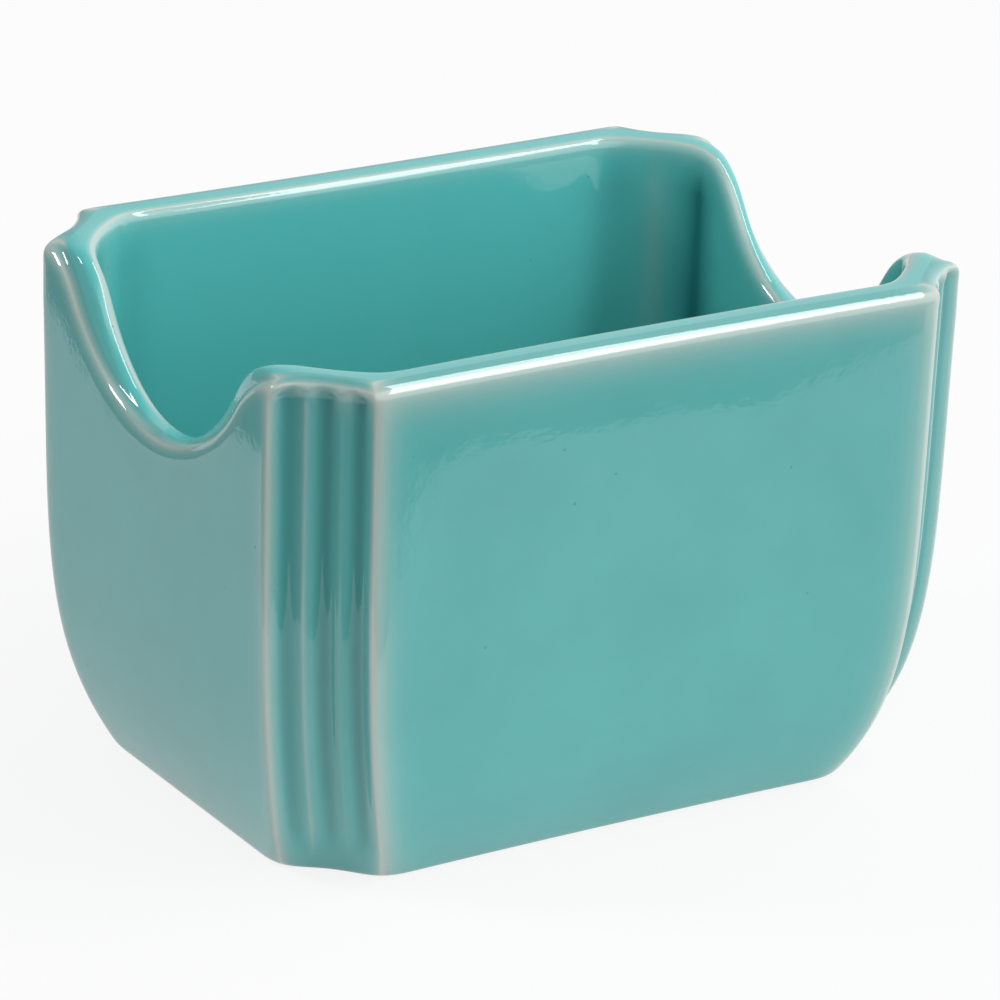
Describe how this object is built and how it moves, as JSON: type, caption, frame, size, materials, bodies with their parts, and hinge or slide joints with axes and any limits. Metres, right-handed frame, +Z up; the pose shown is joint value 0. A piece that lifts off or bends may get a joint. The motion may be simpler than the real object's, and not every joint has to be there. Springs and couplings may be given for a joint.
{
  "type": "sugar packet holder",
  "caption": "Open glazed ceramic box for sugar packets, with a dipped rim at both ends, fluted cut-back corners and walls that curve in to a flat foot.",
  "frame": {"origin": "middle of the foot, on the surface that the holder stands on", "axes": "+X along the length, +Y across the width, +Z up"},
  "size_m": [0.095, 0.0714, 0.064],
  "materials": {
    "bare_clay": "matt, unglazed",
    "turquoise_glaze": "high gloss"
  },
  "bodies": {
    "root": {"clay_body": "bare_clay", "glaze_coat": "turquoise_glaze", "underside_glaze": "turquoise_glaze"}
  },
  "joints": []
}
